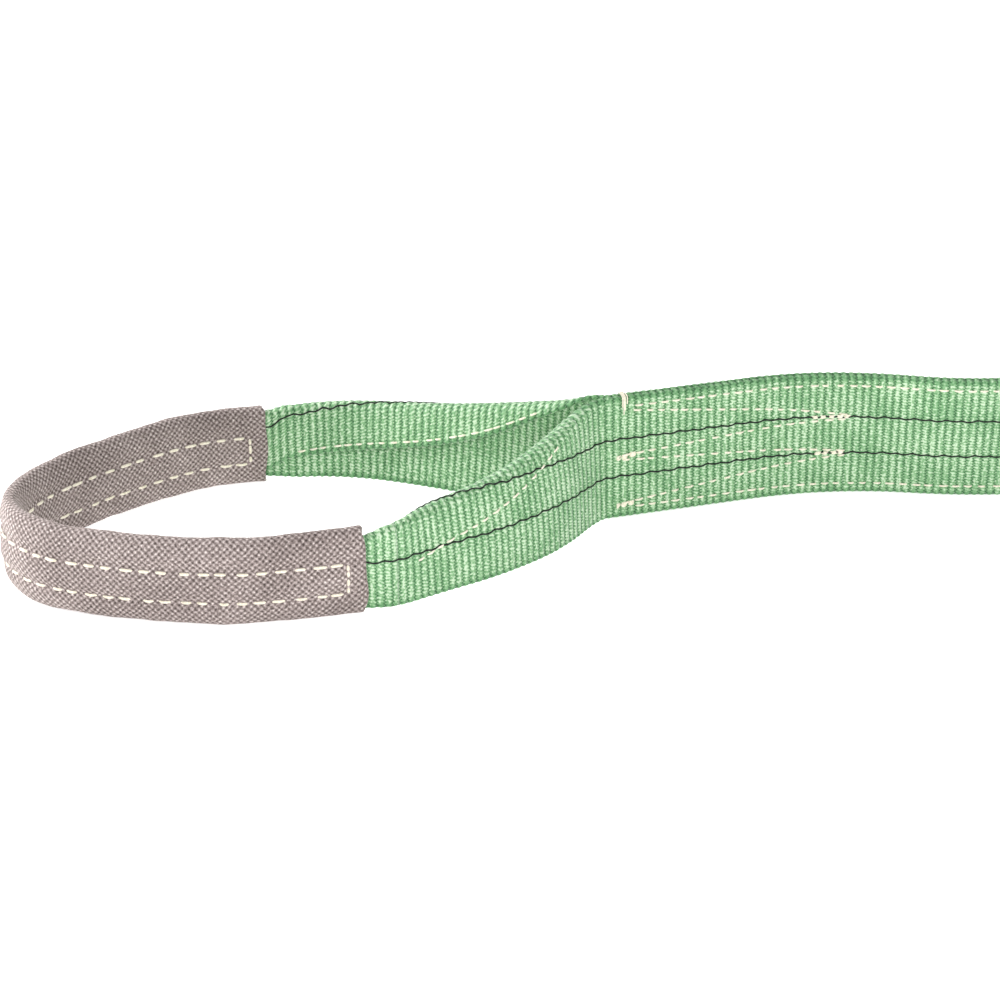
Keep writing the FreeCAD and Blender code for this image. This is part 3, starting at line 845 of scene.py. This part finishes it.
def formula(tree, text, *values):
    """Math nodes from a short list of steps, each (operation, a, b, ...). A whole number stands for
    an earlier result, counted from the given values on, and any other number is itself."""
    results = list(values)
    for operation, *ends in text:
        ends = [results[e] if isinstance(e, int) else e for e in ends]
        results.append(add(tree, "ShaderNodeMath", dict(enumerate(ends)), operation=operation))
    return results[-1]


def ramp(tree, factor, stops):
    """A colour ramp from (place, colour) stops in rising order."""
    colour = add(tree, "ShaderNodeValToRGB", {"Fac": factor})
    elements = colour.node.color_ramp.elements
    for spot, code in stops[1:-1]:
        elements.new(spot)
    for element, (spot, code) in zip(elements, stops):
        element.position = spot
        element.color = linear(code)
    return colour


# %% A finish from a pattern
def finish(name, build, roughness, sheen=0.0, sheen_tint="#ffffff", specular=0.3):
    """A material whose build function gives a colour and a bump height with its depth in mm."""
    material = bpy.data.materials.new(name)
    material.use_nodes = True
    tree = material.node_tree
    tree.nodes.clear()
    colour, height, depth = build(tree)
    bump = add(tree, "ShaderNodeBump", {"Strength": 1.0, "Distance": depth * MM, "Height": height})
    shader = add(tree, "ShaderNodeBsdfPrincipled",
                 {"Base Color": colour, "Roughness": roughness, "Normal": bump,
                  "Specular IOR Level": specular, "Sheen Weight": sheen, "Sheen Roughness": 0.4,
                  "Sheen Tint": linear(sheen_tint), "IOR": 1.5})
    add(tree, "ShaderNodeOutputMaterial", {"Surface": shader})
    return material


def address(tree):
    """The run, across and side numbers of the cloth at this point, in millimetres."""
    cloth = add(tree, "ShaderNodeAttribute", out=1, attribute_name="cloth")
    split = add(tree, "ShaderNodeSeparateXYZ", {"Vector": cloth})
    return cloth, split, split.node.outputs[1]


# %% The web's weave
FLOAT = 1.45                # pitch of the slanted floats along a rib, in mm
TURN = 2 * math.pi


def web_look(tree):
    """Each rib is a column of short slanted floats, a cosine across the web that shifts by half a
    float from one side of the column to the other. Every float dives in the groove beside the
    column. The colour paints shade into the groove, a row of dark dashes that is the product of
    the two patterns, and paints a highlight on the crests of the floats."""
    cloth, run, across = address(tree)
    blur = add(tree, "ShaderNodeTexNoise", {"Vector": cloth, "Scale": 0.9, "Detail": 3.0})
    slow = add(tree, "ShaderNodeTexNoise", {"Vector": cloth, "Scale": 0.06, "Detail": 3.0})
    fray = formula(tree, [("SUBTRACT", 0, 0.5)], blur)
    phase = formula(tree, [("MULTIPLY", 0, 1 / RIB_PITCH), ("MULTIPLY_ADD", 1, 0.22, 2)], run, fray)
    groove = formula(tree, [("MULTIPLY", 0, TURN), ("COSINE", 1), ("MULTIPLY_ADD", 2, -0.5, 0.5),
                            ("POWER", 3, 2.2)], phase)
    turn = formula(tree, [("ADD", 0, 0.5), ("FRACT", 1), ("MULTIPLY", 2, 0.5)], phase)
    part = formula(tree, [("MULTIPLY_ADD", 0, 1 / FLOAT, 1), ("MULTIPLY_ADD", 2, 0.5, 3),
                          ("MULTIPLY", 4, TURN), ("COSINE", 5), ("MULTIPLY_ADD", 6, 0.5, 0.5)],
                   across, turn, fray)
    # the relief: the bump, and painted shade in the grooves and a painted highlight on the crests
    relief_and_painted_shade = formula(tree, [("MULTIPLY", 0, 1), ("MULTIPLY_ADD", 2, -0.62, 1.0),
                            ("MULTIPLY_ADD", 0, -0.22, 3), ("MULTIPLY_ADD", 1, -0.16, 4)],
                     groove, part)
    edge = formula(tree, [("SUBTRACT", 0, WIDTH / 2), ("ABSOLUTE", 1),
                          ("SUBTRACT", 2, WIDTH / 2 - 2.4), ("MULTIPLY", 3, 0.5),
                          ("MAXIMUM", 4, 0.0), ("MINIMUM", 5, 0.25)], across)
    value = formula(tree, [("MULTIPLY_ADD", 1, 1.5, 0), ("MULTIPLY_ADD", 2, 0.5, 4),
                           ("SUBTRACT", 5, 0.3), ("SUBTRACT", 6, 3)], relief_and_painted_shade, fray, slow, edge)
    # painted shade and highlight: dark green in the grooves, pale green on the float crests
    colour = ramp(tree, value, [(0.0, "#24552a"), (0.3, "#3e7543"), (0.6, "#619361"),
                                (0.85, "#84ac7f"), (1.0, "#b9cfb1")])
    return colour, relief_and_painted_shade, 0.3


# %% The sleeve's weave
def sleeve_look(tree):
    """Basket weave: the product of a cosine each way gives light and dark grains in a chequer."""
    cloth, run, around = address(tree)
    wander = add(tree, "ShaderNodeTexNoise", {"Vector": cloth, "Scale": 0.35, "Detail": 2.0})
    speck = add(tree, "ShaderNodeTexNoise", {"Vector": cloth, "Scale": 1.1, "Detail": 3.0})
    slow = add(tree, "ShaderNodeTexNoise", {"Vector": cloth, "Scale": 0.04, "Detail": 2.0})
    grain = formula(tree, [("MULTIPLY", 0, 1 / GRAIN), ("MULTIPLY_ADD", 2, 0.9, 3),
                           ("MULTIPLY", 4, math.pi), ("COSINE", 5),
                           ("MULTIPLY", 1, 1 / GRAIN), ("MULTIPLY_ADD", 2, 0.9, 7),
                           ("MULTIPLY", 8, math.pi), ("COSINE", 9), ("MULTIPLY", 6, 10),
                           ("MULTIPLY_ADD", 11, 0.5, 0.5)], run, around, wander)
    value = formula(tree, [("MULTIPLY_ADD", 0, 0.6, 0.2), ("SUBTRACT", 1, 0.5),
                           ("MULTIPLY_ADD", 4, 1.1, 3), ("SUBTRACT", 2, 0.5),
                           ("MULTIPLY_ADD", 6, 0.3, 5)], grain, speck, slow)
    colour = ramp(tree, value, [(0.0, "#352d2b"), (0.28, "#625855"), (0.5, "#847875"),
                                (0.75, "#afa3a0"), (1.0, "#e0d6d3")])
    return colour, value, 0.30


# %% Thread, yarn and tape
def thread_look(tree):
    """Twisted cream thread, with a soft mottle."""
    spot = add(tree, "ShaderNodeTexCoord", out=3)
    mottle = add(tree, "ShaderNodeTexNoise", {"Vector": spot, "Scale": 1500.0, "Detail": 2.0})
    colour = ramp(tree, mottle, [(0.25, "#cfc6ae"), (0.8, "#fbf6e8")])
    return colour, mottle, 0.12


def tracer_look(tree):
    """Black yarn whose filaments catch a little light on every rib."""
    cloth, run, across = address(tree)
    crest = formula(tree, [("MULTIPLY", 0, TURN / RIB_PITCH), ("COSINE", 1),
                           ("MULTIPLY_ADD", 2, 0.5, 0.5)], run)
    colour = ramp(tree, crest, [(0.0, "#0b0f0b"), (1.0, "#202a22")])
    strand = add(tree, "ShaderNodeTexNoise", {"Vector": cloth, "Scale": 2.5, "Detail": 2.0})
    return colour, strand, 0.1


def label_look(tree):
    """Blue satin tape: fine level threads with a woven border. The threads are drawn coarser than
    real ones, or they wouldn't show."""
    cloth, run, across = address(tree)
    threads = formula(tree, [("MULTIPLY", 0, TURN / 0.8), ("COSINE", 1),
                             ("MULTIPLY_ADD", 2, 0.5, 0.5)], across)
    speck = add(tree, "ShaderNodeTexNoise", {"Vector": cloth, "Scale": 1.4, "Detail": 3.0})
    edge = formula(tree, [("SUBTRACT", 0, (LABEL_LOW + LABEL_HIGH) / 2), ("ABSOLUTE", 1),
                          ("GREATER_THAN", 2, 21.5), ("MULTIPLY", 3, 0.25)], across)
    value = formula(tree, [("MULTIPLY_ADD", 0, 0.25, 0.3), ("SUBTRACT", 1, 0.5),
                           ("MULTIPLY_ADD", 4, 0.5, 3), ("SUBTRACT", 5, 2)], threads, speck, edge)
    colour = ramp(tree, value, [(0.0, "#1c3563"), (0.45, "#2f5596"), (1.0, "#5f86c2")])
    return colour, threads, 0.08


# %% The five finishes
WEB = finish("woven_green_polyester", web_look, 0.6, 0.3, "#ffffff", 0.6)
SLEEVE = finish("basket_woven_grey_polyester", sleeve_look, 0.85, 0.2, "#fff4ec", 0.2)
THREAD = finish("twisted_cream_thread", thread_look, 0.7, 0.1)
TRACER = finish("black_polyester_yarn", tracer_look, 0.55)
LABEL = finish("blue_satin_tape", label_look, 0.5, 0.15)
print("materials are made")

# %% [markdown]
# ## Each piece gets its finish, and some pieces get a body
#
# A piece that crosses a joint has its transform baked into its mesh and keeps its shape. A piece
# that rides one body is parented to that body's empty.

# %% Finishes
for name, piece in parts.items():
    sewn = any(k in name for k in ("_row", "splice", "whipping"))
    look, slot = ((THREAD, "sewing_thread") if sewn else
                  (TRACER, "tracer_yarn") if "yarns" in name else
                  (SLEEVE, "sleeve") if name.startswith("sleeve_") else
                  (LABEL, "label") if name in ("sewn_tab", "free_label") else (WEB, "web"))
    piece.data.materials.clear()
    piece.data.materials.append(look)


# %% Stand-ins hidden, pieces baked in place or attached to bodies
def spot(xy, dx=0.0, dy=0.0):
    """A place in metres at half the web's height."""
    return (float(xy[0] + dx) * MM, float(xy[1] + dy) * MM, WIDTH / 2 * MM)


def bends(piece, a, b, path, start, end):
    """Bakes the piece's transform into its mesh. The two bodies and the stretch from start to
    end are handed on, but nothing uses them.
    """
    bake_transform(parts[piece], a, b, spot(path.at(np.array(start))[0]), spot(path.at(np.array(end))[0]))


middle = body.nearest(HINGES["middle_bend"])
for piece, nodes in (("near_ply", "web_near_ply_"), ("far_ply", "web_far_ply_"),
                     ("body_yarns", "body_tracer_yarns_"), ("edge_rows", "edge_seams_")):
    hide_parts(nodes + "a", nodes + "b")
    bends(piece, "strap_a", "strap_b", body, middle - 20, middle + 20)

for name, path in eyes.items():
    strap, root = "strap_" + name, "eye_root_" + name
    near_leg, far_leg = "near_leg_" + name, "far_leg_" + name
    near_crown, far_crown = "near_crown_" + name, "far_crown_" + name
    crotch, tip = HINGES["eye_swing_" + name], HINGES["crown_bend_" + name]
    outward = 1 if name == "b" else -1
    for piece, node in (("near_root_", "near_root_web_"), ("far_root_", "far_root_web_"),
                        ("root_yarns_", "root_tracer_yarns_")):
        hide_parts(node + name)
        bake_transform(parts[piece + name], strap, root,
                 spot(crotch, -5 * outward), spot(crotch, 16 * outward))
    for piece, node in (("near_leg_", "near_leg_web_"),
                        ("near_leg_yarns_", "near_leg_tracer_yarns_"),
                        ("near_flap_row_", "near_flap_seam_")):
        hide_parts(node + name)
        bends(piece + name, root, near_leg, path, 32, 58)
    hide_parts("near_crown_web_" + name)
    bends("near_crown_" + name, near_leg, near_crown, path, 143, 159)
    bends("mouth_yarns_" + name, near_leg, near_crown, path, 143, 159)
    for piece, node in (("far_leg_", "far_leg_web_"), ("far_leg_yarns_", "far_leg_tracer_yarns_"),
                        ("far_flap_row_", "far_flap_seam_")):
        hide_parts(node + name)
        bends(piece + name, root, far_leg, path, 632, 606)
    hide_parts("far_crown_web_" + name)
    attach(parts["far_crown_" + name], far_crown)
    for piece, nodes in (("sleeve_", "_sleeve_"), ("sleeve_rows_", "_sleeve_seams_")):
        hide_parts("near" + nodes + name, "far" + nodes + name)
        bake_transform(parts[piece + name], near_crown, far_crown, spot(tip, 0, -14), spot(tip, 0, 14))
    for piece, node in (("splice_", "splice_stitching_"), ("whipping_", "crotch_tack_")):
        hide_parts(node + name)
        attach(parts[piece + name], strap)

for piece, node, rides in (("sewn_tab", "label_tab", "strap_a"),
                           ("tab_row", "label_seam", "strap_a"),
                           ("free_label", "label_flap", "label")):
    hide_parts(node)
    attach(parts[piece], rides)

# %% [markdown]
# ## The studio
#
# Soft light from panels keeps the weave readable: the main one stands low in front, one on the left
# lights the crown of the eye, and one behind lights the floor. The main panel is close, so the near
# leg gets more of its light than the far one. The floor and the air are nearly white.

# %% The floor
def floor_plane():
    """A wide flat floor a hair under the sling, matt, that also gives off a little light."""
    w, low = 30.0, -0.0005
    mesh = bpy.data.meshes.new("floor")
    mesh.from_pydata([(-w, -w, low), (w, -w, low), (w, w, low), (-w, w, low)], [], [(0, 1, 2, 3)])
    made = bpy.data.objects.new("floor", mesh)
    bpy.context.scene.collection.objects.link(made)
    paper = bpy.data.materials.new("white_paper")
    paper.use_nodes = True
    shader = paper.node_tree.nodes["Principled BSDF"]
    shader.inputs["Base Color"].default_value = linear("#f6f6f5")
    shader.inputs["Roughness"].default_value = 0.95
    shader.inputs["Specular IOR Level"].default_value = 0.1
    shader.inputs["Emission Color"].default_value = linear("#ffffff")
    shader.inputs["Emission Strength"].default_value = 0.6
    made.data.materials.append(paper)


# %% The panels and the air
def panel_light(name, place, aim, size, watts):
    """A square area light that faces a point."""
    lamp = bpy.data.lights.new(name, "AREA")
    lamp.shape, lamp.size, lamp.energy = "SQUARE", size, watts
    made = bpy.data.objects.new(name, lamp)
    bpy.context.scene.collection.objects.link(made)
    made.location = place
    back = Vector(place) - Vector(aim)
    made.rotation_euler = back.to_track_quat("Z", "Y").to_euler()


floor_plane()
panel_light("main_panel", (-0.02, -0.8, 0.5), (-0.15, 0, 0), 0.3, 6.5)
panel_light("left_panel", (-1.2, 0.15, 0.45), (-0.45, 0, 0), 0.4, 15)
panel_light("back_panel", (-0.2, 1.2, 1.5), (-0.2, 0.9, 0), 1.6, 22)
world = bpy.data.worlds.new("bright_room")
bpy.context.scene.world = world
world.use_nodes = True
air = world.node_tree.nodes["Background"].inputs
air["Color"].default_value = linear("#ffffff")
air["Strength"].default_value = 0.27
bpy.context.scene.view_settings.view_transform = "Standard"

# %% The camera
VIEW_POINT = Vector((-0.221955, 0.026691, 0.0))
camera = bpy.data.objects.new("camera", bpy.data.cameras.new("camera"))
bpy.context.scene.collection.objects.link(camera)
camera.data.sensor_width, camera.data.lens = 36.0, 90.72
DISTANCE, ELEVATION = 1.2, math.radians(25)
camera.location = VIEW_POINT + Vector((0, -math.cos(ELEVATION), math.sin(ELEVATION))) * DISTANCE
camera.rotation_euler = (math.radians(90) - ELEVATION, 0, 0)
bpy.context.scene.camera = camera

# %% The size of the finished model
print("faces", sum(len(p.data.polygons) for p in parts.values()))
